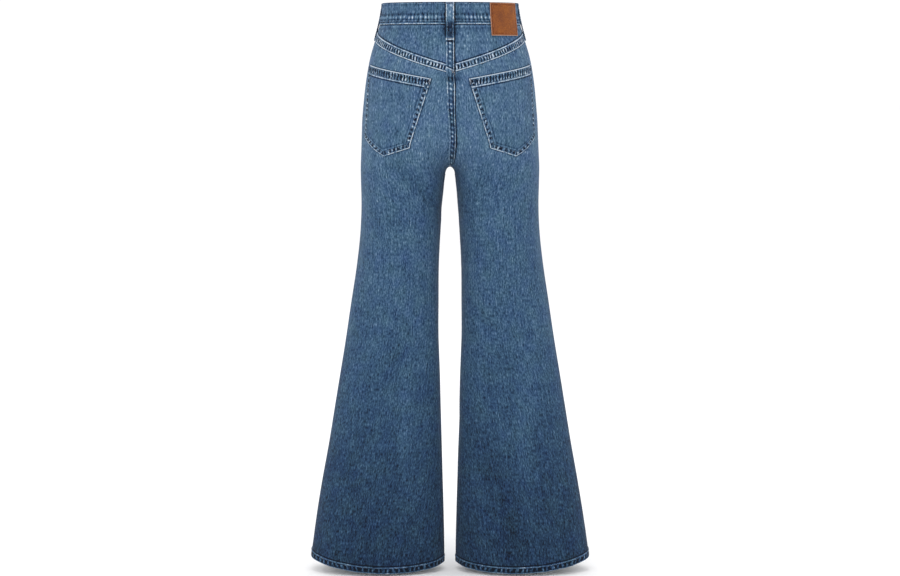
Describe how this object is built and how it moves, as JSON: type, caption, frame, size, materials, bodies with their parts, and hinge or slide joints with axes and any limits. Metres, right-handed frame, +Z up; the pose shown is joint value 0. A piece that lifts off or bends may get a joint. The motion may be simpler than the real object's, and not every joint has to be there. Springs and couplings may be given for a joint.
{
  "type": "flared jeans filled out as if worn, with no wearer",
  "caption": "High-waisted flared jeans in washed blue denim, hollow and standing open as worn, with back yoke, patch pockets, belt loops and leather patch.",
  "frame": {"origin": "middle of the waist opening, 16 mm below the top of the waistband at the back, where the wearer's waist holds the jeans", "axes": "+Z up, out of the waist opening; the wearer faces -Y; +X is the wearer's left"},
  "size_m": [0.565, 0.2359, 1.1322],
  "materials": {
    "denim_front": "washed blue denim, twill weave",
    "denim_back": "washed blue denim, twill weave, fading lighter over the seat and darker to the hem",
    "denim_yoke": "washed blue denim, a little lighter",
    "denim_waistband": "washed blue denim, worn pale along its edges",
    "denim_pocket": "washed blue denim, worn pale along its edges",
    "denim_facing": "washed blue denim, less faded",
    "denim_loop": "washed blue denim, double thickness",
    "leather": "plain brown leather, matt",
    "zip_tape": "woven tape",
    "copper": "aged copper, satin"
  },
  "bodies": {
    "root": {"front_panel_left": "denim_front", "front_panel_right": "denim_front", "back_panel_left": "denim_back", "back_panel_right": "denim_back", "yoke_left": "denim_yoke", "yoke_right": "denim_yoke", "waistband": "denim_waistband", "back_pocket_left": "denim_pocket", "back_pocket_right": "denim_pocket", "pocket_facing_left": "denim_facing", "pocket_facing_right": "denim_facing", "fly": "denim_front", "zip": "zip_tape", "button": "copper", "patch": "leather", "belt_loop_back": "denim_loop", "belt_loop_side_left": "denim_loop", "belt_loop_side_right": "denim_loop", "belt_loop_front_left": "denim_loop", "belt_loop_front_right": "denim_loop"}
  },
  "joints": []
}
